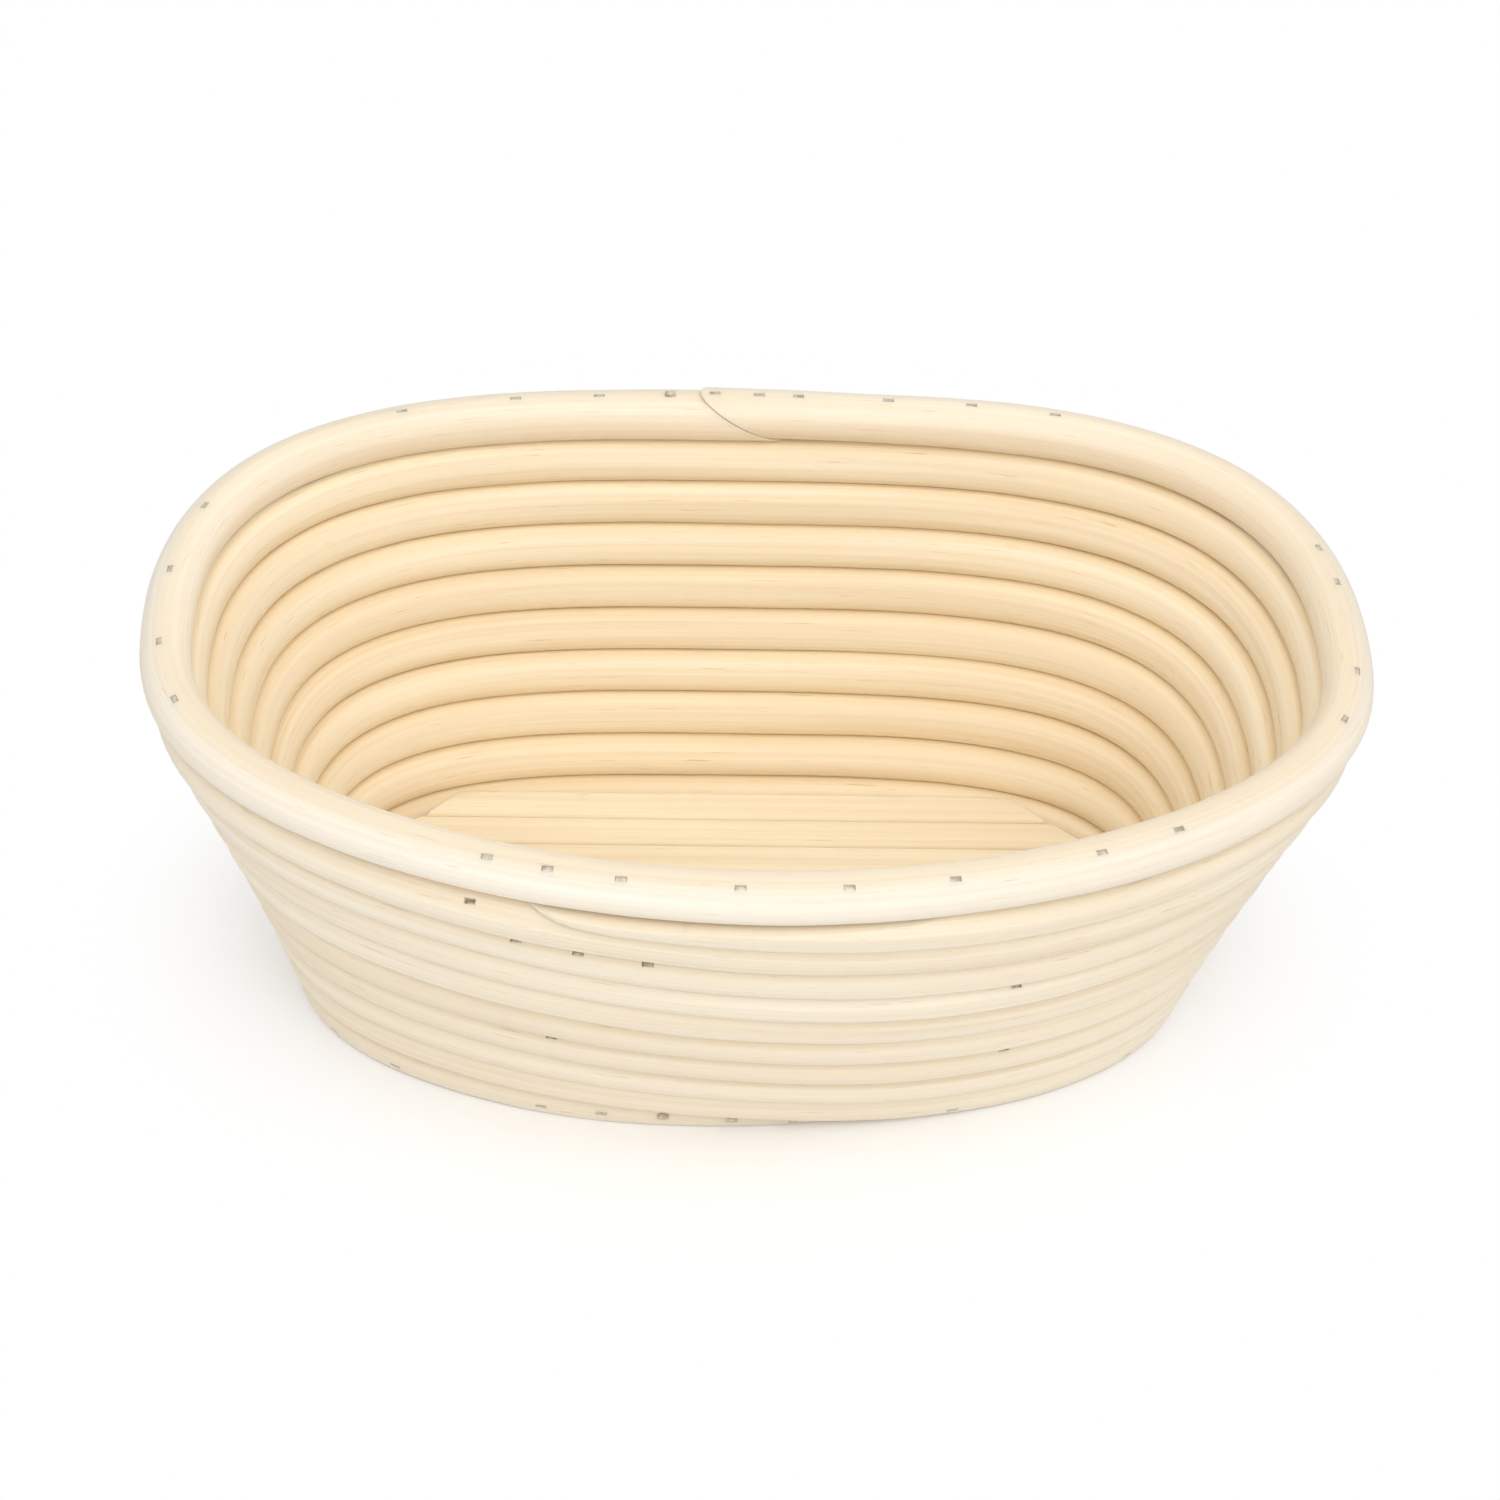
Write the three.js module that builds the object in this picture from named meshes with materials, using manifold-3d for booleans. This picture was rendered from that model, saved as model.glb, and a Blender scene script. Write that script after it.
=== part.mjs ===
// Oval bread-proofing basket of rattan. One long cane is wound upward in touching turns, a hoop of cane
// closes the top as a rim, straight canes make the floor, and flat-headed wire brads hold them together.
// Millimetres, +Z up. The origin lies on the table under the middle of the basket, the long way is X.
import * as THREE from 'three';
import { mergeVertices } from 'three/addons/utils/BufferGeometryUtils.js';
import Module from 'manifold-3d';

const wasm = await Module();
wasm.setup();

// Wall: the wound cane
const BASE_LENGTH = 172; // over the outside of the lowest turn
const BASE_WIDTH = 94;
const CANE_DIAMETER = 8.3;
const TURN_GAP = 0.7; // daylight between one turn and the next
const TURN_COUNT = 9;
const FLARE_BOTTOM = 22.5; // lean of the wall from upright, degrees
const FLARE_TOP = 16;
const END_WAIST_DEPTH = 2.6; // the two ends are drawn in halfway up, and flare out again above
const END_TOP_REACH = 1.5;
const FRONT_POWER_BOTTOM = 2.2; // 2 is an ellipse, more is squarer
const FRONT_POWER_TOP = 2;
const BACK_POWER_BOTTOM = 3.4;
const BACK_POWER_TOP = 3.05;
const BACK_BIAS = 1.5; // 1 shares the ends evenly between front and back, more gives them to the front
const CLIMB_START = -51; // outline angle where a turn starts to climb, degrees from +X
const CLIMB_SPAN = 82; // outline angle of the climb, which runs clockwise across the front
const SEAT_FLAT_DEPTH = 0.5; // depth shaved flat where the lowest turn stands
const TIP_THICKNESS = 1; // what is left of the cane at its two tapered tips

// Rim: one cane bent to a hoop, its ends scarfed together at the back
const RIM_DIAMETER = 9.5;
const RIM_GAP = 0.6; // daylight between the rim and the top turn
const RIM_END_REACH = 1.6; // the hoop is a little longer than the wall under it
const RIM_LEAN = 5; // degrees from upright
const SCARF_ANGLE = 91.5; // outline angle of the joint
const SCARF_LENGTH = 16; // how far the slanted cut runs along the cane, from its top to its underside
const SCARF_GAP = 0.35;

// Floor: straight flattened canes side by side, which share the width inside the lowest turn
const FLOOR_COUNT = 10;
const FLOOR_THICKNESS = 5;
const FLOOR_EDGE_RADIUS = 1.6; // radius of their long edges
const FLOOR_GAP = 0.3; // daylight between two floor canes
const FLOOR_END_GAP = 0.7; // from a trimmed end to the lowest turn
const FLOOR_RAISE_HEIGHT = 2.2; // middle of the floor canes over the axis of the lowest turn

// Brads: flat wire with a wider head, sunk a little into the cane
const BRAD_HEAD_WIDTH = 2.2;
const BRAD_HEAD_DEPTH = 0.7;
const BRAD_WIRE_WIDTH = 1.1;
const BRAD_SINK_DEPTH = 0.4;
const BRAD_HOLE_CLEARANCE = 0.15;
const RIM_BRAD_LENGTH = 15;
const WALL_BRAD_LENGTH = 13;
const FLOOR_BRAD_LENGTH = 14;
const RIM_BRAD_TILT = 77; // where a head sits on the round of its cane, degrees above the horizon
const RIM_BRAD_TURN = 12; // how much lower the heads sit at the front, and higher at the back
const WALL_BRAD_TILT = 50;
const FLOOR_BRAD_TILT = -18;

// Outline angles of the brads in degrees, clockwise from the right
const RIM_BRADS = [
  -8, -19, -49, -58, -73, -83, -93, -104, -111, -117, -162, -175, 168, 153, 124, 113, 105, 98, 93.5, 89, 85,
  76, 68, 60, 21, 13,
];
const FLOOR_BRADS = [-34, -63, -84, -92, -101, -109, -117, -139, -152, -166, 125, 95, 60];
// Each wall brad: how many turns above the lowest one it starts, and its outline angle
const WALL_BRADS = [[3, -59], [3, -114], [6, -62], [7, -101], [7, -108], [7, -115], [8, -122]];

// Facets
const CANE_SIDES = 9;
const STEPS_PER_TURN = 38;
const RIM_SIDES = 12;
const RIM_STEPS = 72;
const EDGE_STEPS = 2;

const CANE_COLOUR = '#e3cda3';
const RIM_COLOUR = '#e8d6b0';
const FLOOR_COLOUR = '#dcc294';
const BRAD_COLOUR = '#8b8781';

// Values that follow from the sizes above
const FULL_TURN = 2 * Math.PI;
const radians = THREE.MathUtils.degToRad;
const caneRadius = CANE_DIAMETER / 2;
const rimRadius = RIM_DIAMETER / 2;
const pitch = CANE_DIAMETER + TURN_GAP;
const topLevel = TURN_COUNT - 1;
const halfLength = BASE_LENGTH / 2 - caneRadius;
const halfWidth = BASE_WIDTH / 2 - caneRadius;
const firstAxis = caneRadius - SEAT_FLAT_DEPTH;
const flareBottom = radians(FLARE_BOTTOM);
const flareTop = radians(FLARE_TOP);
const climbSpan = radians(CLIMB_SPAN);
const clearWidth = 2 * (halfWidth - caneRadius - FLOOR_END_GAP);
const floorSpacing = (clearWidth + FLOOR_GAP) / FLOOR_COUNT;
const floorWidth = floorSpacing - FLOOR_GAP;
const up = new THREE.Vector3(0, 0, 1);

// Oval and wall

// Point of the oval that lies this far outside the axis of the lowest turn. It is squarer at the back
// than at the front, and gets rounder level by level.
function ovalPoint(outset, angle, level) {
  const front = THREE.MathUtils.lerp(FRONT_POWER_BOTTOM, FRONT_POWER_TOP, level / topLevel);
  const back = THREE.MathUtils.lerp(BACK_POWER_BOTTOM, BACK_POWER_TOP, level / topLevel);
  const power = THREE.MathUtils.lerp(front, back, ((1 + Math.sin(angle)) / 2) ** BACK_BIAS);
  const along = Math.cos(angle);
  const across = Math.sin(angle);
  const stretch = (Math.abs(along) ** power + Math.abs(across) ** power) ** (-1 / power);
  const share = level / topLevel;
  const ends = END_TOP_REACH * share - END_WAIST_DEPTH * 4 * share * (1 - share);
  const x = (halfLength + outset + ends) * stretch * along;
  const y = (halfWidth + outset) * stretch * across;
  return new THREE.Vector3(x, y, 0);
}

// Level outward direction of the oval.
function outward(angle) {
  const step = 0.001;
  const tangent = ovalPoint(0, angle + step, 0).sub(ovalPoint(0, angle - step, 0));
  return tangent.cross(up).normalize();
}

// Axis of the wall cane at a level counted in turns. The wall leans less and less towards the top.
function wallAxis(level, angle) {
  const lean = flareBottom + (flareTop - flareBottom) * level / (2 * topLevel);
  const point = ovalPoint(pitch * level * Math.sin(lean), angle, level);
  point.z = firstAxis + pitch * level * Math.cos(lean);
  return point;
}

// Level of the winding after this much sweep. Each turn lies flat, then climbs across the front.
function windingLevel(sweep) {
  const turn = Math.floor(sweep / FULL_TURN);
  return turn - 1 + THREE.MathUtils.smoothstep(sweep - turn * FULL_TURN, 0, climbSpan);
}

function windingPoint(sweep) {
  return wallAxis(windingLevel(sweep), radians(CLIMB_START) - sweep);
}

// Sweep of the place on a given turn at an outline angle.
function sweepAt(turn, angle) {
  const fromClimb = THREE.MathUtils.euclideanModulo(radians(CLIMB_START) - angle, FULL_TURN);
  return turn * FULL_TURN + fromClimb;
}

// Sweep inside a climb where the winding has risen by this share of a level.
function climbSweep(share) {
  return climbSpan * (0.5 - Math.sin(Math.asin(1 - 2 * share) / 3));
}

// Solids

function toSolid(geometry) {
  const bare = geometry.clone();
  bare.deleteAttribute('normal');
  bare.deleteAttribute('uv');
  const merged = mergeVertices(bare);
  const vertProperties = new Float32Array(merged.attributes.position.array);
  const triVerts = new Uint32Array(merged.index.array);
  return new wasm.Manifold(new wasm.Mesh({ numProp: 3, vertProperties, triVerts }));
}

function toGeometry(solid) {
  const mesh = solid.getMesh();
  const geometry = new THREE.BufferGeometry();
  geometry.setAttribute('position', new THREE.BufferAttribute(mesh.vertProperties, 3));
  geometry.setIndex(new THREE.BufferAttribute(mesh.triVerts, 1));
  geometry.computeVertexNormals();
  return geometry;
}

function cutAll(solid, tools) {
  return tools.reduce((rest, tool) => rest.subtract(tool), solid);
}

// Round cane along a list of points, with flat ends. Its section keeps upright, so it never twists.
// A slant slides the end's points along the cane by that much for each millimetre above the axis.
function caneAlong(points, radius, sides, slant = 0) {
  const positions = [];
  const index = [];
  const last = points.length - 1;
  points.forEach((point, i) => {
    const tangent = points[Math.min(i + 1, last)].clone().sub(points[Math.max(i - 1, 0)]).normalize();
    const side = new THREE.Vector3().crossVectors(tangent, up).normalize();
    const top = new THREE.Vector3().crossVectors(side, tangent);
    for (let k = 0; k < sides; k += 1) {
      const turn = FULL_TURN * (k + 0.5) / sides;
      const rise = radius * Math.sin(turn);
      const corner = point.clone().addScaledVector(side, radius * Math.cos(turn)).addScaledVector(top, rise);
      if (i === 0 || i === last) corner.addScaledVector(tangent, slant * rise);
      positions.push(corner.x, corner.y, corner.z);
    }
  });
  for (let i = 0; i < last; i += 1) {
    for (let k = 0; k < sides; k += 1) {
      const a = i * sides + k;
      const b = i * sides + (k + 1) % sides;
      index.push(a, a + sides, b, b, a + sides, b + sides);
    }
  }
  for (let k = 1; k < sides - 1; k += 1) {
    index.push(0, k, k + 1);
    index.push(last * sides, last * sides + k + 1, last * sides + k);
  }
  const geometry = new THREE.BufferGeometry();
  geometry.setAttribute('position', new THREE.Float32BufferAttribute(positions, 3));
  geometry.setIndex(index);
  return geometry;
}

// Block wide enough to shave the whole basket between two heights.
function slab(from, to) {
  const reach = 2 * (BASE_LENGTH + pitch * TURN_COUNT);
  const block = new THREE.BoxGeometry(reach, reach, to - from);
  return block.translate(0, 0, (from + to) / 2);
}

// Brads

// T-shaped prism, its head's top at the origin and its wire pointing down. Grown by a clearance, and
// open upward, it is the hole that the brad sits in.
function bradGeometry(length, clearance = 0, open = 0) {
  const head = BRAD_HEAD_WIDTH / 2 + clearance;
  const wire = BRAD_WIRE_WIDTH / 2 + clearance;
  const neck = -BRAD_HEAD_DEPTH - clearance;
  const tip = -length - clearance;
  const shape = new THREE.Shape();
  shape.moveTo(-head, open);
  shape.lineTo(-head, neck);
  shape.lineTo(-wire, neck);
  shape.lineTo(-wire, tip);
  shape.lineTo(wire, tip);
  shape.lineTo(wire, neck);
  shape.lineTo(head, neck);
  shape.lineTo(head, open);
  shape.closePath();
  const depth = BRAD_WIRE_WIDTH + 2 * clearance;
  const prism = new THREE.ExtrudeGeometry(shape, { depth, bevelEnabled: false });
  return prism.translate(0, 0, -depth / 2).rotateX(Math.PI / 2);
}

// A brad whose head is sunk into a cane at a surface point, driven towards an aim point.
function makeBrad(name, surface, aim, along, length) {
  const axis = surface.clone().sub(aim).normalize();
  const across = new THREE.Vector3().crossVectors(axis, along).normalize();
  const width = new THREE.Vector3().crossVectors(across, axis);
  const placed = new THREE.Matrix4().makeBasis(width, across, axis);
  placed.setPosition(surface.clone().addScaledVector(axis, -BRAD_SINK_DEPTH));
  const hole = toSolid(bradGeometry(length, BRAD_HOLE_CLEARANCE, 3 * BRAD_SINK_DEPTH).applyMatrix4(placed));
  return { name, length, placed, hole };
}

function onCane(axisPoint, angle, tilt, radius) {
  const rise = radians(tilt);
  return axisPoint.clone()
    .addScaledVector(outward(angle), radius * Math.cos(rise))
    .addScaledVector(up, radius * Math.sin(rise));
}

const rimStep = caneRadius + RIM_GAP + rimRadius;

function rimAxis(angle) {
  const wall = wallAxis(topLevel, 0);
  const lean = radians(RIM_LEAN);
  const outset = wall.x - halfLength - END_TOP_REACH + rimStep * Math.sin(lean);
  const point = ovalPoint(outset, angle, topLevel);
  point.x *= 1 + RIM_END_REACH / wall.x;
  point.z = wall.z + rimStep * Math.cos(lean);
  return point;
}

function rimBrad(degrees, i) {
  const angle = radians(degrees);
  const tilt = RIM_BRAD_TILT + RIM_BRAD_TURN * Math.sin(angle);
  const along = new THREE.Vector3().crossVectors(up, outward(angle));
  const surface = onCane(rimAxis(angle), angle, tilt, rimRadius);
  return makeBrad(`rim_brad_${i + 1}`, surface, wallAxis(topLevel, angle), along, RIM_BRAD_LENGTH);
}

function wallBrad([turn, degrees], i) {
  const angle = radians(degrees);
  const sweep = sweepAt(turn, angle);
  const along = new THREE.Vector3().crossVectors(up, outward(angle));
  const surface = onCane(windingPoint(sweep), angle, WALL_BRAD_TILT, caneRadius);
  return makeBrad(`wall_brad_${i + 1}`, surface, windingPoint(sweep - FULL_TURN), along, WALL_BRAD_LENGTH);
}

function floorBrad(degrees, i) {
  const angle = radians(degrees);
  const axis = wallAxis(0, angle);
  const along = new THREE.Vector3().crossVectors(up, outward(angle));
  const surface = onCane(axis, angle, FLOOR_BRAD_TILT, caneRadius);
  const aim = axis.clone().addScaledVector(outward(angle), -caneRadius - floorWidth / 2);
  aim.z += FLOOR_RAISE_HEIGHT;
  return makeBrad(`floor_brad_${i + 1}`, surface, aim, along, FLOOR_BRAD_LENGTH);
}

const rimBrads = RIM_BRADS.map(rimBrad);
const wallBrads = WALL_BRADS.map(wallBrad);
const floorBrads = FLOOR_BRADS.map(floorBrad);
const brads = [...rimBrads, ...wallBrads, ...floorBrads];
const holes = brads.map((brad) => brad.hole);

// Wall winding

// The cane comes up out of the table and goes on up past the rim, and both are shaved off flat: that
// leaves a long taper under the second turn and another one under the rim.
function windingGeometry() {
  const shaveTop = wallAxis(topLevel, 0).z + caneRadius + 0.15 * RIM_GAP;
  const startLevel = (TIP_THICKNESS - CANE_DIAMETER + SEAT_FLAT_DEPTH) / (pitch * Math.cos(flareBottom));
  const endRise = (CANE_DIAMETER - TIP_THICKNESS) / (pitch * Math.cos(flareTop));
  const start = climbSweep(1 + startLevel);
  const end = TURN_COUNT * FULL_TURN + climbSweep(endRise);
  const step = FULL_TURN / STEPS_PER_TURN;
  const sweeps = [start];
  for (let k = Math.ceil(start / step + 0.5); k * step < end - step / 2; k += 1) sweeps.push(k * step);
  sweeps.push(end);
  const cane = toSolid(caneAlong(sweeps.map(windingPoint), caneRadius, CANE_SIDES));
  const table = toSolid(slab(-2 * CANE_DIAMETER, 0));
  const underRim = toSolid(slab(shaveTop, shaveTop + 2 * CANE_DIAMETER));
  printLeastGap(start, end);
  return toGeometry(cutAll(cane, [table, underRim, ...holes]));
}

// Least daylight between the winding and itself, measured on points along its axis.
function printLeastGap(start, end) {
  const step = FULL_TURN / 360;
  const near = radians(12);
  let least = Infinity;
  for (let sweep = start; sweep + FULL_TURN - near < end; sweep += step) {
    const point = windingPoint(sweep);
    for (let ahead = FULL_TURN - near; ahead <= FULL_TURN + near; ahead += step) {
      if (sweep + ahead <= end) least = Math.min(least, point.distanceTo(windingPoint(sweep + ahead)));
    }
  }
  console.log(`least gap of the winding to itself ${(least - CANE_DIAMETER).toFixed(2)} mm`);
}

// Rim hoop

// The two ends overlap at the back in one slanted cut with a hair of daylight, the right end on top.
function rimGeometry() {
  const slope = SCARF_LENGTH / RIM_DIAMETER;
  const daylight = SCARF_GAP * Math.hypot(1, slope);
  const middle = radians(SCARF_ANGLE);
  const perRadian = rimAxis(middle + 0.01).distanceTo(rimAxis(middle - 0.01)) / 0.02;
  const from = middle - daylight / 2 / perRadian;
  const to = middle + daylight / 2 / perRadian - FULL_TURN;
  const free = SCARF_LENGTH / 2 / perRadian;
  const points = [rimAxis(from)];
  for (let k = 0; k <= RIM_STEPS; k += 1) {
    points.push(rimAxis(THREE.MathUtils.lerp(from - 1.3 * free, to + 1.3 * free, k / RIM_STEPS)));
  }
  points.push(rimAxis(to));
  const hoop = toSolid(caneAlong(points, rimRadius, RIM_SIDES, -slope));
  return toGeometry(cutAll(hoop, holes));
}

// Floor canes

// Room for the floor: the inside of the lowest turn, less the end gap, over the full height of a cane.
function floorRoom() {
  const inset = -caneRadius - FLOOR_END_GAP;
  const rim = [];
  for (let k = 0; k < 2 * STEPS_PER_TURN; k += 1) {
    const angle = FULL_TURN * k / (2 * STEPS_PER_TURN);
    const point = wallAxis(0, angle).addScaledVector(outward(angle), inset);
    rim.push(new THREE.Vector2(point.x, point.y));
  }
  const depth = firstAxis + FLOOR_RAISE_HEIGHT + FLOOR_THICKNESS;
  return toSolid(new THREE.ExtrudeGeometry(new THREE.Shape(rim), { depth, bevelEnabled: false }));
}

// Section of a floor cane, flattened above and below, with its long edges rounded.
function floorSection() {
  const side = floorWidth / 2 - FLOOR_EDGE_RADIUS;
  const rise = FLOOR_THICKNESS / 2 - FLOOR_EDGE_RADIUS;
  const quarter = Math.PI / 2;
  const section = new THREE.Shape();
  section.absarc(side, rise, FLOOR_EDGE_RADIUS, 0, quarter);
  section.absarc(-side, rise, FLOOR_EDGE_RADIUS, quarter, 2 * quarter);
  section.absarc(-side, -rise, FLOOR_EDGE_RADIUS, 2 * quarter, 3 * quarter);
  section.absarc(side, -rise, FLOOR_EDGE_RADIUS, 3 * quarter, 4 * quarter);
  return section;
}

function floorGeometries() {
  const room = floorRoom();
  const settings = { depth: BASE_LENGTH, curveSegments: EDGE_STEPS, bevelEnabled: false };
  const geometries = [];
  for (let k = 0; k < FLOOR_COUNT; k += 1) {
    const cane = new THREE.ExtrudeGeometry(floorSection(), settings);
    cane.rotateX(Math.PI / 2).rotateZ(Math.PI / 2);
    const across = (k - (FLOOR_COUNT - 1) / 2) * floorSpacing;
    cane.translate(-BASE_LENGTH / 2, across, firstAxis + FLOOR_RAISE_HEIGHT);
    const trimmed = toSolid(cane).intersect(room);
    geometries.push(toGeometry(cutAll(trimmed, floorBrads.map((brad) => brad.hole))));
  }
  return geometries;
}

// Assembly

function cane(name, geometry, color) {
  const material = new THREE.MeshStandardMaterial({ color, roughness: 0.7, metalness: 0 });
  const mesh = new THREE.Mesh(geometry, material);
  mesh.name = name;
  return mesh;
}

function bradMesh({ name, length, placed }) {
  const material = new THREE.MeshStandardMaterial({ color: BRAD_COLOUR, roughness: 0.45, metalness: 0.9 });
  const mesh = new THREE.Mesh(bradGeometry(length), material);
  mesh.name = name;
  mesh.position.setFromMatrixPosition(placed);
  mesh.quaternion.setFromRotationMatrix(placed);
  return mesh;
}

const floor = new THREE.Group();
floorGeometries().forEach((geometry, i) => floor.add(cane(`floor_cane_${i + 1}`, geometry, FLOOR_COLOUR)));

const nails = new THREE.Group();
brads.forEach((brad) => nails.add(bradMesh(brad)));

const basket = new THREE.Group();
basket.add(cane('wall_winding', windingGeometry(), CANE_COLOUR));
basket.add(cane('rim_hoop', rimGeometry(), RIM_COLOUR));
basket.add(floor, nails);

export default basket;
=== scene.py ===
import math

import bpy
from mathutils import Matrix, Vector


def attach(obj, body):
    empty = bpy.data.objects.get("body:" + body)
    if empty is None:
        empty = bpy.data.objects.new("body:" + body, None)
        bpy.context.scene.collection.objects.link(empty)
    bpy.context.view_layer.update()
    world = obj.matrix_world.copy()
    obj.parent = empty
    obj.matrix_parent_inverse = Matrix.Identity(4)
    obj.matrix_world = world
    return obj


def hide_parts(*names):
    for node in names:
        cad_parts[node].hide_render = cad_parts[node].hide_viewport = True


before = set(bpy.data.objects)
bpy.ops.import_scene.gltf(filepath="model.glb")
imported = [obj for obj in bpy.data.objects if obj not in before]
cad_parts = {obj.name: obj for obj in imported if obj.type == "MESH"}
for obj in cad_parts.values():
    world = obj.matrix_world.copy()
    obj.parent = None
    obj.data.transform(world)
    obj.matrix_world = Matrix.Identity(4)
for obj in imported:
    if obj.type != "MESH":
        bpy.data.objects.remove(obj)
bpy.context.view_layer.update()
bpy.ops.object.select_all(action="DESELECT")


# Wall winding
# One long peeled rattan cane, soaked soft, wound upward round a mould in nine turns and pressed flat where
# they touch. Each turn lies level round the ends and the back and climbs one cane's height across the front.
# It starts and ends in a long taper that is shaved flat, on the table below and under the rim above.
wall_diameter = 0.0095
wall_power = 2.4
wall_pressed = 0.0093
turn_pitch = 0.009
turn_count = 9
top_level = turn_count - 1
base_half_length = 0.08185
base_half_width = 0.04285
first_axis_height = 0.00365
lean_bottom = math.radians(22.5)
lean_top = math.radians(16)
front_power = 2.2
front_power_loss = 0.2
back_power = 3.4
back_power_loss = 0.35
back_bias = 1.5
end_waist = 0.0026
end_top_reach = 0.0015
climb_start = math.radians(-51)
climb_span = math.radians(82)
start_share = 0.16
end_share = 0.755
rim_fill_rise = 0.06
rim_fill_width = 0.13
end_droop = 0.28
end_shift = 0.0003
end_shift_span = 0.6 * climb_span
top_shave = 0.0048
wall_sides = 28
cane_step = 0.0028
uneven_size = 0.03
uneven_depth = 0.0004


def oval_point(outset, angle, level):
    """Point of the oval that lies this far outside the axis of the lowest turn: squarer at the back."""
    share = level / top_level
    front = front_power - front_power_loss * share
    back = back_power - back_power_loss * share
    power = front + (back - front) * ((1 + math.sin(angle)) / 2) ** back_bias
    along = math.cos(angle)
    across = math.sin(angle)
    stretch = (abs(along) ** power + abs(across) ** power) ** (-1 / power)
    ends = end_top_reach * share - end_waist * 4 * share * (1 - share)
    length = (base_half_length + outset + ends) * stretch * along
    return Vector((length, (base_half_width + outset) * stretch * across, 0))


def outward(angle):
    """Level outward direction of the oval."""
    run = oval_point(0, angle + 0.001, 0) - oval_point(0, angle - 0.001, 0)
    return run.cross(Vector((0, 0, 1))).normalized()


def wall_axis(level, angle):
    """Axis of the wall cane at a level counted in turns."""
    lean = lean_bottom + (lean_top - lean_bottom) * level / (2 * top_level)
    point = oval_point(turn_pitch * level * math.sin(lean), angle, level)
    point.z = first_axis_height + turn_pitch * level * math.cos(lean)
    return point


def winding_level(sweep):
    """Level after this much sweep: flat for most of a turn, then up across the front."""
    turn = math.floor(sweep / math.tau)
    share = min((sweep - turn * math.tau) / climb_span, 1)
    rise = share * share * (3 - 2 * share)
    if turn == top_level:
        rise += rim_fill_rise * math.sin(math.pi * min(max((share - 0.5) / 0.5, 0), 1)) ** 2
    if turn == turn_count:
        rise *= 1 - end_droop * share
    return turn - 1 + rise


def winding_point(sweep):
    """Axis of the winding. Its last end lies a little over the outside of the turn below."""
    angle = climb_start - sweep
    point = wall_axis(winding_level(sweep), angle)
    past = min(max(sweep - turn_count * math.tau, 0) / end_shift_span, 1)
    return point + outward(angle) * end_shift * past * past * (3 - 2 * past)


def lay_path(name, points, radii):
    """A path for a cane to be bent along, with the cane's thickness at each of its points."""
    bpy.ops.curve.primitive_nurbs_path_add()
    path = bpy.context.object
    path.name = name
    path.data.twist_mode = "Z_UP"
    path.data.resolution_u = 2
    spline = path.data.splines[0]
    spline.points.add(len(points) - len(spline.points))
    spline.order_u = 3
    spline.use_endpoint_u = True
    for knot, point, radius in zip(spline.points, points, radii):
        knot.co = (*point, 1)
        knot.radius = radius
    return path


def straight_cane(name, length, diameter, sides, power, pressed):
    """A straight cane along X, a little uneven, with its grain mapped round and along it.

    It is round with a power of two and fuller with more, and it is pressed flat to this thickness where the
    turns of a leaning wall touch.
    """
    count = math.ceil(length / cane_step)
    step = length / count
    bpy.ops.object.select_all(action="DESELECT")
    bpy.ops.mesh.primitive_cylinder_add(
        vertices=sides, radius=diameter / 2, depth=step, end_fill_type="NOTHING",
        location=(step / 2, 0, 0), rotation=(0, math.pi / 2, 0))
    cane = bpy.context.object
    cane.name = name
    bpy.ops.object.transform_apply(location=True, rotation=True, scale=True)
    lean = (lean_bottom + lean_top) / 2
    upward = Vector((0, math.sin(lean), math.cos(lean)))
    for vertex in cane.data.vertices:
        around = math.atan2(vertex.co.z, vertex.co.y) + lean
        fuller = (abs(math.cos(around)) ** power + abs(math.sin(around)) ** power) ** (-1 / power)
        vertex.co.y *= fuller
        vertex.co.z *= fuller
        height = vertex.co.dot(upward)
        vertex.co += upward * (min(max(height, -pressed / 2), pressed / 2) - height)
    grain = cane.data.uv_layers[0]
    grain.name = "grain"
    for face in cane.data.polygons:
        middle = math.atan2(face.center.z, face.center.y) / math.tau
        for loop in face.loop_indices:
            corner = cane.data.vertices[cane.data.loops[loop].vertex_index].co
            turn = math.atan2(corner.z, corner.y) / math.tau
            turn += round(middle - turn)
            grain.data[loop].uv = (turn, corner.x / step)
    row = cane.modifiers.new("row", "ARRAY")
    row.count = count
    row.use_relative_offset = False
    row.use_constant_offset = True
    row.constant_offset_displace = (step, 0, 0)
    row.use_merge_vertices = True
    row.merge_threshold = 0.00005
    row.offset_v = 1
    bpy.ops.object.modifier_apply(modifier="row")
    uneven = bpy.data.textures.new(name + "_uneven", "CLOUDS")
    uneven.noise_scale = uneven_size
    swell = cane.modifiers.new("swell", "DISPLACE")
    swell.texture = uneven
    swell.strength = uneven_depth
    bpy.ops.object.modifier_apply(modifier="swell")
    return cane


def bend_cane(cane, path):
    """Bends a straight cane along a path, closes its ends and turns its faces outward."""
    bend = cane.modifiers.new("bend", "CURVE")
    bend.object = path
    bpy.ops.object.modifier_apply(modifier="bend")
    bpy.data.objects.remove(path)
    bpy.ops.object.mode_set(mode="EDIT")
    bpy.ops.mesh.select_all(action="DESELECT")
    bpy.ops.mesh.select_non_manifold()
    bpy.ops.mesh.fill_holes(sides=0)
    bpy.ops.mesh.select_all(action="SELECT")
    bpy.ops.mesh.normals_make_consistent(inside=False)
    bpy.ops.object.mode_set(mode="OBJECT")


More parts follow.
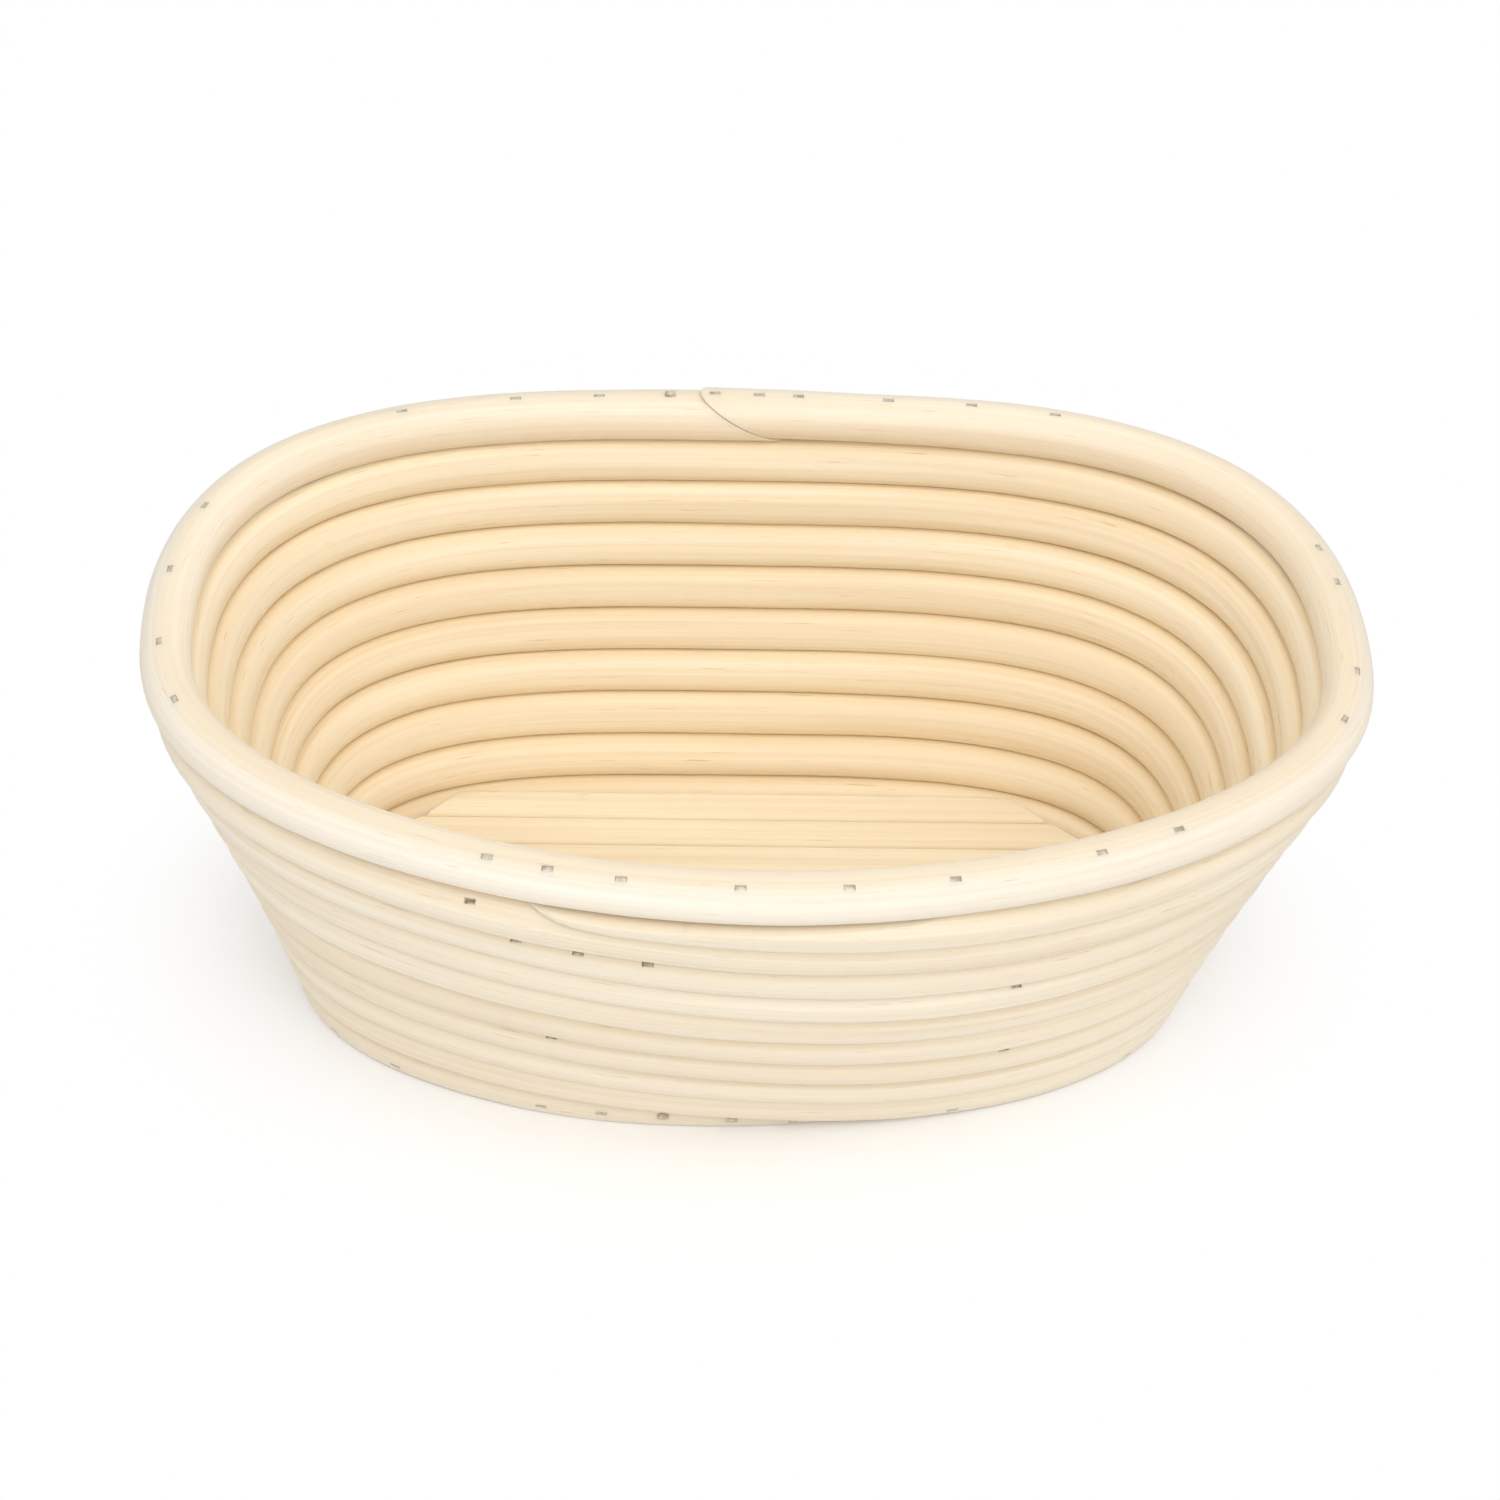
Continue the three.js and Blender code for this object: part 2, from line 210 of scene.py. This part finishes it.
def cut_away(piece, cutter):
    """Takes the cutter's shape out of a piece."""
    bpy.ops.object.select_all(action="DESELECT")
    piece.select_set(True)
    bpy.context.view_layer.objects.active = piece
    cut = piece.modifiers.new("cut", "BOOLEAN")
    cut.operation = "DIFFERENCE"
    cut.solver = "MANIFOLD"
    cut.object = cutter
    bpy.ops.object.modifier_apply(modifier="cut")


def plane_flat(cane, low, high):
    """Planes a cane flat between two heights."""
    middle = (low + high) / 2
    bpy.ops.object.select_all(action="DESELECT")
    bpy.ops.mesh.primitive_cube_add(size=1, location=(0, 0, middle))
    block = bpy.context.object
    block.scale = (0.4, 0.4, high - low)
    bpy.ops.object.transform_apply(location=True, rotation=True, scale=True)
    grain = block.data.uv_layers[0]
    grain.name = "grain"
    for loop in block.data.loops:
        grain.data[loop.index].uv = (0, block.data.vertices[loop.vertex_index].co.x / cane_step)
    cut_away(cane, block)
    bpy.data.objects.remove(block)


start_sweep = start_share * climb_span
end_sweep = turn_count * math.tau + end_share * climb_span
sweep_steps = 1700
nose_steps = 4
sweeps = [start_sweep + (end_sweep - start_sweep) * i / sweep_steps for i in range(sweep_steps + 1)]
thickness = []
for i, sweep in enumerate(sweeps):
    inward = min(min(i, sweep_steps - i) / nose_steps, 1)
    under_rim = (sweep - top_level * math.tau) / climb_span
    fuller = rim_fill_width * math.sin(math.pi * min(max((under_rim - 0.55) / 0.5, 0), 1)) ** 2
    thickness.append(0.3 + 0.7 * math.sqrt(1 - (1 - inward) ** 2) + fuller)
wall_path = lay_path("wall_path", [winding_point(sweep) for sweep in sweeps], thickness)
wall_length = sum(spline.calc_length() for spline in wall_path.data.splines)
wall = straight_cane("wall_cane", wall_length, wall_diameter, wall_sides, wall_power, wall_pressed)
bend_cane(wall, wall_path)
wall_top = wall_axis(top_level, 0).z + top_shave
plane_flat(wall, -0.02, 0)
plane_flat(wall, wall_top, wall_top + 0.02)
bpy.ops.object.shade_smooth_by_angle(angle=math.radians(40))


def cane_material(name, pale, warm, fleck, outside, inside, painted_groove_glow):
    """Peeled rattan: cream, a little see-through, with lengthwise fibres, warmer streaks and dark pores.

    The last three colours are painted light: cool shade on the outside, warm bounced light on the inside,
    and warm bounced light with a little shade on the lines where turns touch.
    """
    material = bpy.data.materials.new(name)
    material.use_nodes = True
    tree = material.node_tree
    nodes = tree.nodes
    shader = nodes["Principled BSDF"]
    shader.inputs["Roughness"].default_value = 0.6
    shader.inputs["Specular IOR Level"].default_value = 0.25
    shader.inputs["Subsurface Weight"].default_value = 0.4
    shader.inputs["Subsurface Scale"].default_value = 0.002
    shader.inputs["Subsurface Radius"].default_value = (1, 0.95, 0.9)
    grain = nodes.new("ShaderNodeUVMap")
    grain.uv_map = "grain"
    parts = nodes.new("ShaderNodeSeparateXYZ")
    tree.links.new(grain.outputs["UV"], parts.inputs[0])
    turn = nodes.new("ShaderNodeMath")
    turn.operation = "MULTIPLY"
    turn.inputs[1].default_value = math.tau
    tree.links.new(parts.outputs["X"], turn.inputs[0])
    side = nodes.new("ShaderNodeMath")
    side.operation = "COSINE"
    tree.links.new(turn.outputs[0], side.inputs[0])
    rise = nodes.new("ShaderNodeMath")
    rise.operation = "SINE"
    tree.links.new(turn.outputs[0], rise.inputs[0])
    place = nodes.new("ShaderNodeCombineXYZ")
    tree.links.new(side.outputs[0], place.inputs["X"])
    tree.links.new(rise.outputs[0], place.inputs["Y"])
    tree.links.new(parts.outputs["Y"], place.inputs["Z"])

    def fibre(size, detail):
        """Noise on the cane's own round and length."""
        stretch = nodes.new("ShaderNodeMapping")
        stretch.inputs["Scale"].default_value = size
        tree.links.new(place.outputs[0], stretch.inputs["Vector"])
        noise = nodes.new("ShaderNodeTexNoise")
        noise.inputs["Scale"].default_value = 1
        noise.inputs["Detail"].default_value = detail
        tree.links.new(stretch.outputs[0], noise.inputs["Vector"])
        return noise.outputs["Fac"]

    def blend(fac, low, high, start, end):
        """Ramp from one colour to another."""
        ramp = nodes.new("ShaderNodeValToRGB")
        ramp.color_ramp.elements[0].position = start
        ramp.color_ramp.elements[0].color = (*low, 1)
        ramp.color_ramp.elements[1].position = end
        ramp.color_ramp.elements[1].color = (*high, 1)
        tree.links.new(fac, ramp.inputs["Fac"])
        return ramp.outputs["Color"]

    def multiply(first, second):
        """Product of two colours."""
        mix = nodes.new("ShaderNodeMix")
        mix.data_type = "RGBA"
        mix.blend_type = "MULTIPLY"
        mix.inputs["Factor"].default_value = 1
        tree.links.new(first, mix.inputs["A"])
        tree.links.new(second, mix.inputs["B"])
        return mix.outputs["Result"]

    streaks = fibre((6, 6, 0.02), 4)
    stretches = fibre((0.8, 0.8, 0.02), 2)
    pores = fibre((16, 16, 0.3), 2)
    colour = blend(streaks, warm, pale, 0.3, 0.62)
    white = (1, 1, 1)
    colour = multiply(colour, blend(stretches, (0.93, 0.9, 0.85), white, 0.35, 0.65))
    colour = multiply(colour, blend(pores, fleck, white, 0.24, 0.33))
    # Painted light: the cane's inward side goes warmer, as if lit by warm light bounced inside the basket,
    # and its outward side goes cooler and a little darker, as if in shade.
    inner = nodes.new("ShaderNodeMapRange")
    inner.inputs["From Min"].default_value = 0.5
    inner.inputs["From Max"].default_value = -0.6
    tree.links.new(side.outputs[0], inner.inputs["Value"])
    colour = multiply(colour, blend(inner.outputs["Result"], outside, inside, 0, 1))
    # Painted light: the top and underside of the cane, where turns touch, go warmer and a little darker, as
    # if lit by warm light bounced and shaded in the grooves.
    groove_glow_mask = nodes.new("ShaderNodeMath")
    groove_glow_mask.operation = "ABSOLUTE"
    tree.links.new(rise.outputs[0], groove_glow_mask.inputs[0])
    colour = multiply(colour, blend(groove_glow_mask.outputs[0], white, painted_groove_glow, 0.75, 1))
    tree.links.new(colour, shader.inputs["Base Color"])
    ridges = nodes.new("ShaderNodeBump")
    ridges.inputs["Strength"].default_value = 0.35
    ridges.inputs["Distance"].default_value = 0.0002
    tree.links.new(fibre((14, 14, 0.03), 3), ridges.inputs["Height"])
    tree.links.new(ridges.outputs[0], shader.inputs["Normal"])
    return material


# The last three colours are painted light: cool shade outside, warm bounced light inside, and warm bounced
# light and shade in the grooves.
wall_rattan = cane_material("wall_rattan", (0.94, 0.84, 0.68), (0.89, 0.77, 0.59), (0.8, 0.72, 0.62),
                             (0.94, 0.955, 0.98), (1, 0.985, 0.94), (1, 0.94, 0.82))
wall.data.materials.clear()
wall.data.materials.append(wall_rattan)
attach(wall, "root")
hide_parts("wall_winding")


# Floor canes
# Ten straight canes, planed flat above and below and laid side by side inside the lowest turn. Each is
# trimmed at its ends with a straight cut to the curve of the wall and nailed there from outside.
floor_count = 10
floor_spacing = 0.00761
floor_width = 0.0075
floor_thickness = 0.005
floor_middle = 0.00585
floor_edge_round = 0.0012
room_inset = 0.00485
last_strip_edge = 0.0365
last_strip_reach = 0.054
floor_rattan = cane_material("floor_rattan", (0.96, 0.85, 0.66), (0.92, 0.79, 0.58), (0.8, 0.72, 0.6),
                              (1, 1, 1), (1, 1, 1), (1, 1, 1))


def room_reach(across):
    """How far the room inside the lowest turn reaches along the length, this far from its middle line."""
    low, high = 0, math.pi / 2
    for _ in range(40):
        middle = (low + high) / 2
        angle = math.copysign(middle, across)
        point = oval_point(-room_inset, angle, 0)
        if abs(point.y) < abs(across):
            low = middle
        else:
            high = middle
    return oval_point(-room_inset, math.copysign(low, across), 0).x


strips = []
for number in range(floor_count):
    middle = (number - (floor_count - 1) / 2) * floor_spacing
    bpy.ops.object.select_all(action="DESELECT")
    bpy.ops.mesh.primitive_cube_add(size=1, location=(0, middle, floor_middle))
    strip = bpy.context.object
    strip.name = f"floor_strip_{number + 1}"
    strip.scale = (2 * base_half_length, floor_width, floor_thickness)
    bpy.ops.object.transform_apply(location=True, rotation=True, scale=True)
    bpy.ops.object.mode_set(mode="EDIT")
    bpy.ops.mesh.select_all(action="SELECT")
    bpy.ops.mesh.bevel(offset=floor_edge_round, segments=4, affect="EDGES")
    outer = math.copysign(abs(middle) + floor_width / 2, middle)
    inner = math.copysign(abs(middle) - floor_width / 2, middle)
    near = room_reach(inner)
    far = last_strip_reach
    if abs(outer) < last_strip_edge:
        far = min(room_reach(outer), near - 0.0005)
    for end in (-1, 1):
        run = Vector((end * (near - far), inner - outer, 0))
        normal = run.cross(Vector((0, 0, 1))).normalized()
        if normal.x * end < 0:
            normal.negate()
        bpy.ops.mesh.select_all(action="SELECT")
        bpy.ops.mesh.bisect(plane_co=(end * near, inner, 0), plane_no=normal, use_fill=True,
                            clear_outer=True, threshold=0.000001)
    bpy.ops.object.mode_set(mode="OBJECT")
    bpy.ops.object.shade_smooth_by_angle(angle=math.radians(40))
    grain = strip.data.uv_layers[0]
    grain.name = "grain"
    for face in strip.data.polygons:
        for loop in face.loop_indices:
            corner = strip.data.vertices[strip.data.loops[loop].vertex_index].co
            turn = math.atan2(corner.z - floor_middle, corner.y - middle) / math.tau
            grain.data[loop].uv = (turn, corner.x / cane_step + 97 * number)
    strip.data.materials.append(floor_rattan)
    strips.append(strip)
    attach(strip, "root")
    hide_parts(f"floor_cane_{number + 1}")


# Rim hoop
# One round cane bent to a hoop on top of the wall, a little lower at the ends. Its own two ends are cut on
# a long slant and lie one on the other at the back, the right end on top and a little proud.
rim_diameter = 0.0096
rim_lean = math.radians(5)
rim_step = 0.0095
rim_end_reach = 0.0016
rim_sag = 0.0005
rim_sides = 28
scarf_angle = math.radians(90.3)
scarf_length = 0.016
scarf_lift = 0.001
scarf_reach = 0.16
scarf_ease = 0.45
right_cut = 0.001
left_cut = 0.0002


def rim_axis(angle):
    """Axis of the rim cane."""
    wall_point = wall_axis(top_level, 0)
    outset = wall_point.x - base_half_length - end_top_reach + rim_step * math.sin(rim_lean)
    point = oval_point(outset, angle, top_level)
    point.x *= 1 + rim_end_reach / wall_point.x
    point.z = wall_point.z + rim_step * math.cos(rim_lean) - rim_sag * math.cos(angle) ** 2
    return point


def lift_at(angle):
    """How far the right end stands proud of the left one."""
    past = (scarf_angle + scarf_reach - angle) / scarf_ease
    if past < 0 or past > 1:
        return 0
    return scarf_lift * (1 - past * past * (3 - 2 * past))


rim_steps = 400
rim_points = []
for i in range(rim_steps + 1):
    angle = scarf_angle + scarf_reach - (math.tau + 2 * scarf_reach) * i / rim_steps
    point = rim_axis(angle)
    point.z += lift_at(angle)
    rim_points.append(point)
rim_path = lay_path("rim_path", rim_points, [1 for point in rim_points])
rim_length = sum(spline.calc_length() for spline in rim_path.data.splines)
rim = straight_cane("rim_cane", rim_length, rim_diameter, rim_sides, 2, rim_diameter)
overlap = (rim_axis(scarf_angle) - rim_axis(scarf_angle + scarf_reach)).length
slant = Vector((rim_diameter, 0, scarf_length)).normalized()
bpy.ops.object.mode_set(mode="EDIT")
for place, right_end in ((overlap - right_cut, True), (rim_length - overlap - left_cut, False)):
    bpy.ops.mesh.select_all(action="SELECT")
    bpy.ops.mesh.bisect(plane_co=(place, 0, 0), plane_no=slant, use_fill=True, threshold=0.000001,
                        clear_inner=right_end, clear_outer=not right_end)
bpy.ops.object.mode_set(mode="OBJECT")
bend_cane(rim, rim_path)
bpy.ops.object.shade_smooth_by_angle(angle=math.radians(40))
# The last three colours are painted light: cool shade outside, warm bounced light inside, and warm bounced
# light and shade in the grooves.
rim_rattan = cane_material("rim_rattan", (0.93, 0.85, 0.73), (0.89, 0.79, 0.65), (0.84, 0.77, 0.68),
                            (0.95, 0.965, 0.985), (1, 0.98, 0.94), (1, 0.97, 0.9))
rim.data.materials.clear()
rim.data.materials.append(rim_rattan)
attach(rim, "root")
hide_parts("rim_hoop")


# Brads
# Short wire brads with a flat head no wider than a staple's, driven a little below the surface: down
# through the rim, slantwise from turn to turn near the climbs, and through the lowest turn into the floor.
head_width = 0.002
wire_width = 0.001
head_depth = 0.0007
point_length = 0.0016
spare = 0.00004
rim_brad_length = 0.015
rim_brad_depth = 0.00025
wall_brad_length = 0.013
wall_brad_depth = 0.0007
wall_brad_tilt = math.radians(34)
floor_brad_length = 0.014
floor_brad_depth = 0.00045
floor_brad_tilt = math.radians(-18)
floor_brad_rise = 0.0022


def pick_faces(piece, wanted):
    """Selects the faces of a piece that pass a test, in edit mode."""
    bpy.ops.object.mode_set(mode="EDIT")
    bpy.ops.mesh.select_mode(type="FACE")
    bpy.ops.mesh.select_all(action="DESELECT")
    bpy.ops.object.mode_set(mode="OBJECT")
    for face in piece.data.polygons:
        face.select = wanted(face)
    bpy.ops.object.mode_set(mode="EDIT")


def draw_wire(name, length, room, rise):
    """A brad standing point down with its head's top at the origin, or with room its hole."""
    width = wire_width + 2 * room
    depth = head_depth + room + rise
    bpy.ops.object.select_all(action="DESELECT")
    bpy.ops.mesh.primitive_cube_add(size=1, location=(0, 0, rise - depth / 2))
    brad = bpy.context.object
    brad.name = name
    brad.scale = (width, width, depth)
    bpy.ops.object.transform_apply(location=True, rotation=True, scale=True)
    for side in (-1, 1):
        pick_faces(brad, lambda face: face.normal.x * side > 0.9)
        bpy.ops.mesh.extrude_region_move(
            TRANSFORM_OT_translate={"value": (side * (head_width - wire_width) / 2, 0, 0)})
    pick_faces(brad, lambda face: face.normal.z < -0.9 and abs(face.center.x) < width / 4)
    bpy.ops.mesh.extrude_region_move(
        TRANSFORM_OT_translate={"value": (0, 0, rise - depth + point_length - length)})
    bpy.ops.mesh.extrude_region_move(TRANSFORM_OT_translate={"value": (0, 0, -point_length)})
    bpy.ops.transform.resize(value=(0.3, 0.3, 1))
    bpy.ops.object.mode_set(mode="OBJECT")
    return brad


def on_cane(axis, angle, tilt, radius):
    """Point on a cane's skin, tilted up from its outward side."""
    return axis + outward(angle) * radius * math.cos(tilt) + Vector((0, 0, radius * math.sin(tilt)))


def driven(surface, aim, angle, depth):
    """Place of a brad driven from the surface towards a point and below it, its head along the cane."""
    axis = (surface - aim).normalized()
    along = Vector((0, 0, 1)).cross(outward(angle))
    across = axis.cross(along).normalized()
    width = across.cross(axis)
    place = Matrix((width, across, axis)).transposed().to_4x4()
    place.translation = surface - axis * depth
    return place


def sweep_at(turn, angle):
    """Sweep of the winding where this turn passes this angle."""
    return turn * math.tau + (climb_start - angle) % math.tau


rim_angles = (-8, -19, -49, -58, -73, -83, -93, -104, -111, -117, -162, -175, 168, 153, 124, 113, 105, 98,
              93.5, 89, 85, 76, 68, 60, 21, 13)
floor_angles = (-34, -63, -84, -92, -101, -109, -117, -139, -152, -166, 125, 95, 60)
wall_places = ((3, -59), (3, -114), (6, -62), (7, -101.8), (7, -108.8), (7, -115.2), (8, -119))
rim_brads = []
for degrees in rim_angles:
    angle = math.radians(degrees)
    tilt = math.radians(77 + 12 * math.sin(angle))
    surface = on_cane(rim_axis(angle), angle, tilt, rim_diameter / 2)
    surface.z += lift_at(angle)
    rim_brads.append(driven(surface, wall_axis(top_level, angle), angle, rim_brad_depth))
wall_brads = []
for turn, degrees in wall_places:
    angle = math.radians(degrees)
    sweep = sweep_at(turn, angle)
    surface = on_cane(winding_point(sweep), angle, wall_brad_tilt, wall_diameter / 2)
    wall_brads.append(driven(surface, winding_point(sweep - math.tau), angle, wall_brad_depth))
floor_brads = []
for degrees in floor_angles:
    angle = math.radians(degrees)
    axis = wall_axis(0, angle)
    surface = on_cane(axis, angle, floor_brad_tilt, wall_diameter / 2)
    aim = axis - outward(angle) * (wall_diameter + floor_width) / 2 + Vector((0, 0, floor_brad_rise))
    floor_brads.append(driven(surface, aim, angle, floor_brad_depth))

brad_steel = bpy.data.materials.new("brad_steel")
brad_steel.use_nodes = True
steel = brad_steel.node_tree
steel_shader = steel.nodes["Principled BSDF"]
steel_shader.inputs["Metallic"].default_value = 0.55
where = steel.nodes.new("ShaderNodeTexCoord")
dull = steel.nodes.new("ShaderNodeTexNoise")
dull.inputs["Scale"].default_value = 900
dull.inputs["Detail"].default_value = 3
steel.links.new(where.outputs["Object"], dull.inputs["Vector"])
tarnish = steel.nodes.new("ShaderNodeValToRGB")
tarnish.color_ramp.elements[0].position = 0.35
tarnish.color_ramp.elements[0].color = (0.46, 0.4, 0.31, 1)
tarnish.color_ramp.elements[1].position = 0.65
tarnish.color_ramp.elements[1].color = (0.7, 0.64, 0.54, 1)
steel.links.new(dull.outputs["Fac"], tarnish.inputs["Fac"])
steel.links.new(tarnish.outputs["Color"], steel_shader.inputs["Base Color"])
worn = steel.nodes.new("ShaderNodeMapRange")
worn.inputs["To Min"].default_value = 0.55
worn.inputs["To Max"].default_value = 0.35
steel.links.new(dull.outputs["Fac"], worn.inputs["Value"])
steel.links.new(worn.outputs["Result"], steel_shader.inputs["Roughness"])


def drive(kind, places, length, pieces):
    """Cuts a hole for each brad of a kind and sets the brads in the holes."""
    model = draw_wire(kind, length, 0, 0)
    bpy.ops.object.mode_set(mode="EDIT")
    bpy.ops.mesh.select_all(action="SELECT")
    bpy.ops.mesh.bevel(offset=0.0001, segments=2, affect="EDGES")
    bpy.ops.object.mode_set(mode="OBJECT")
    bpy.ops.object.shade_smooth_by_angle(angle=math.radians(30))
    model.data.materials.append(brad_steel)
    drill = draw_wire(kind + "_hole", length + 0.0005, spare, 0.002)
    holes = []
    for number, place in enumerate(places, 1):
        for shape in (model, drill):
            bpy.ops.object.select_all(action="DESELECT")
            shape.select_set(True)
            bpy.context.view_layer.objects.active = shape
            bpy.ops.object.duplicate()
            copy = bpy.context.object
            copy.matrix_world = place
            bpy.ops.object.transform_apply(location=True, rotation=True, scale=True)
            if shape is drill:
                holes.append(copy)
            else:
                copy.name = f"{kind}_pin_{number}"
                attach(copy, "root")
                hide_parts(f"{kind}_{number}")
    bpy.data.objects.remove(model)
    bpy.data.objects.remove(drill)
    bpy.ops.object.select_all(action="DESELECT")
    for hole in holes:
        hole.select_set(True)
    bpy.context.view_layer.objects.active = holes[0]
    bpy.ops.object.join()
    for piece in pieces:
        cut_away(piece, holes[0])
    bpy.data.objects.remove(holes[0])


drive("rim_brad", rim_brads, rim_brad_length, [rim, wall])
drive("wall_brad", wall_brads, wall_brad_length, [wall])
drive("floor_brad", floor_brads, floor_brad_length, [wall, *strips])


# Stage
# A plain white table under soft studio light, and the camera where the photograph was taken from.
bpy.ops.object.select_all(action="DESELECT")
bpy.ops.mesh.primitive_plane_add(size=8, location=(0, 0, -0.0002))
table = bpy.context.object
table.name = "table"
bpy.ops.object.transform_apply(location=True, rotation=True, scale=True)


def seen_straight(nodes, links):
    """One for a ray straight from the camera, a mirror or glass, else none."""
    path = nodes.new("ShaderNodeLightPath")
    total = path.outputs["Is Camera Ray"]
    for ray in ("Is Glossy Ray", "Is Transmission Ray"):
        either = nodes.new("ShaderNodeMath")
        either.operation = "MAXIMUM"
        links.new(total, either.inputs[0])
        links.new(path.outputs[ray], either.inputs[1])
        total = either.outputs[0]
    return total


table_white = bpy.data.materials.new("table_white")
table_white.use_nodes = True
table_nodes = table_white.node_tree.nodes
table_links = table_white.node_tree.links
table_shader = table_nodes["Principled BSDF"]
table_shader.inputs["Base Color"].default_value = (0.92, 0.92, 0.92, 1)
table_shader.inputs["Roughness"].default_value = 0.9
table_shader.inputs["Specular IOR Level"].default_value = 0.1
spot = table_nodes.new("ShaderNodeTexCoord")
away = table_nodes.new("ShaderNodeVectorMath")
away.operation = "LENGTH"
oval = table_nodes.new("ShaderNodeMapping")
oval.inputs["Scale"].default_value = (0.7, 1, 1)
table_links.new(spot.outputs["Object"], oval.inputs["Vector"])
table_links.new(oval.outputs["Vector"], away.inputs[0])
fade = table_nodes.new("ShaderNodeMapRange")
fade.interpolation_type = "SMOOTHSTEP"
fade.inputs["From Min"].default_value = 0.045
fade.inputs["From Max"].default_value = 0.092
table_links.new(away.outputs["Value"], fade.inputs["Value"])
seen_fade = table_nodes.new("ShaderNodeMath")
seen_fade.operation = "MULTIPLY"
table_links.new(fade.outputs["Result"], seen_fade.inputs[0])
table_links.new(seen_straight(table_nodes, table_links), seen_fade.inputs[1])
glow = table_nodes.new("ShaderNodeEmission")
blend_white = table_nodes.new("ShaderNodeMixShader")
table_links.new(seen_fade.outputs[0], blend_white.inputs["Fac"])
table_links.new(table_shader.outputs[0], blend_white.inputs[1])
table_links.new(glow.outputs[0], blend_white.inputs[2])
table_links.new(blend_white.outputs[0], table_nodes["Material Output"].inputs["Surface"])
table.data.materials.append(table_white)

world = bpy.data.worlds.new("studio")
bpy.context.scene.world = world
world.use_nodes = True
sky = world.node_tree.nodes["Background"]
sky.inputs["Color"].default_value = (1, 1, 1, 1)
level = world.node_tree.nodes.new("ShaderNodeMapRange")
level.inputs["To Min"].default_value = 0.72
world.node_tree.links.new(seen_straight(world.node_tree.nodes, world.node_tree.links), level.inputs["Value"])
world.node_tree.links.new(level.outputs["Result"], sky.inputs["Strength"])


def softbox(name, place, aim, size, power):
    """A square soft light turned towards a point."""
    bpy.ops.object.light_add(type="AREA", location=place)
    lamp = bpy.context.object
    lamp.name = name
    lamp.data.size = size
    lamp.data.energy = power
    lamp.rotation_euler = (Vector(place) - Vector(aim)).to_track_quat("Z", "Y").to_euler()


softbox("key", (0.12, -0.9, 1.4), (0, 0, 0.04), 1.4, 15.5)

elevation = math.radians(42.45)
azimuth = math.radians(-4.22)
roll = math.radians(3.6)
distance = 1.0
focal_pixels = 5294
photo_pixels = 1500
target = Vector((-0.0005, 0, 0.05455))
level_back = Vector((math.sin(azimuth), -math.cos(azimuth), 0))
back = level_back * math.cos(elevation) + Vector((0, 0, math.sin(elevation)))
turned = (Matrix.Rotation(azimuth, 3, "Z") @ Matrix.Rotation(math.pi / 2 - elevation, 3, "X")
          @ Matrix.Rotation(roll, 3, "Z"))
bpy.ops.object.camera_add(location=target + distance * back, rotation=turned.to_euler())
camera = bpy.context.object
camera.data.sensor_width = 36
camera.data.lens = focal_pixels * camera.data.sensor_width / photo_pixels
bpy.context.scene.camera = camera
bpy.context.scene.view_settings.view_transform = "Standard"
